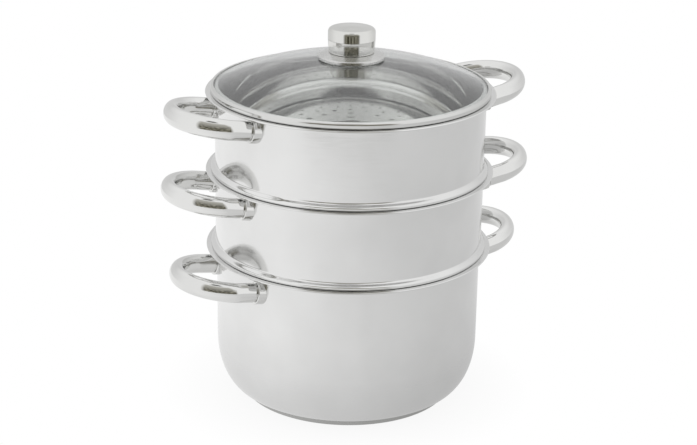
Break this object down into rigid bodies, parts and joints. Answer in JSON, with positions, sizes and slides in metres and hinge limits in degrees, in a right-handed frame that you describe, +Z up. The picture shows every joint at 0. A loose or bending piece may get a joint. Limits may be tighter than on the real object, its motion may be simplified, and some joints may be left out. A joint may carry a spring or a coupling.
{
  "type": "steamer pot",
  "caption": "Stainless stock pot with nesting perforated steamers, hollow loop handles and a domed glass lid with a steel knob.",
  "frame": {"origin": "centre of the base's underside, where the pot stands", "axes": "+Z up along the stack's axis; the pot's two handles lie along X"},
  "size_m": [0.4086, 0.3, 0.3959],
  "materials": {
    "satin_steel": "satin outside, bright inside and on the rims",
    "polished_steel": "mirror polished stainless steel",
    "base_steel": "turned, with faint rings",
    "plain_steel": "plain machined",
    "aluminium_core": "plain, covered by the base cap",
    "lid_glass": "clear, smooth, toughened",
    "silicone": "translucent grey, matt"
  },
  "bodies": {
    "pot": {"pot_body": "satin_steel", "base_core": "aluminium_core", "base_cap": "base_steel", "pot_handle_right": "polished_steel", "pot_bracket_right_front": "polished_steel", "pot_bracket_right_rear": "polished_steel", "pot_handle_left": "polished_steel", "pot_bracket_left_front": "polished_steel", "pot_bracket_left_rear": "polished_steel"},
    "lower_steamer": {"lower_steamer_shell": "satin_steel", "lower_steamer_handle_right": "polished_steel", "lower_steamer_bracket_right_front": "polished_steel", "lower_steamer_bracket_right_rear": "polished_steel", "lower_steamer_handle_left": "polished_steel", "lower_steamer_bracket_left_front": "polished_steel", "lower_steamer_bracket_left_rear": "polished_steel"},
    "upper_steamer": {"upper_steamer_shell": "satin_steel", "upper_steamer_handle_right": "polished_steel", "upper_steamer_bracket_right_front": "polished_steel", "upper_steamer_bracket_right_rear": "polished_steel", "upper_steamer_handle_left": "polished_steel", "upper_steamer_bracket_left_front": "polished_steel", "upper_steamer_bracket_left_rear": "polished_steel"},
    "lid": {"lid_glass": "lid_glass", "lid_ring": "polished_steel", "knob_plate": "polished_steel", "knob_cup": "polished_steel", "knob_cap": "polished_steel", "knob_insert": "plain_steel", "knob_screw": "plain_steel", "lower_washer": "plain_steel", "upper_gasket": "silicone", "lower_gasket": "silicone"}
  },
  "joints": [
    {"name": "lower_steamer_lift", "type": "slide", "parent": "pot", "child": "lower_steamer", "axis": [0, 0, 1], "range_m": [0, 0.15]},
    {"name": "upper_steamer_lift", "type": "slide", "parent": "lower_steamer", "child": "upper_steamer", "axis": [0, 0, 1], "range_m": [0, 0.15]},
    {"name": "lid_lift", "type": "slide", "parent": "upper_steamer", "child": "lid", "axis": [0, 0, 1], "range_m": [0, 0.15]}
  ]
}
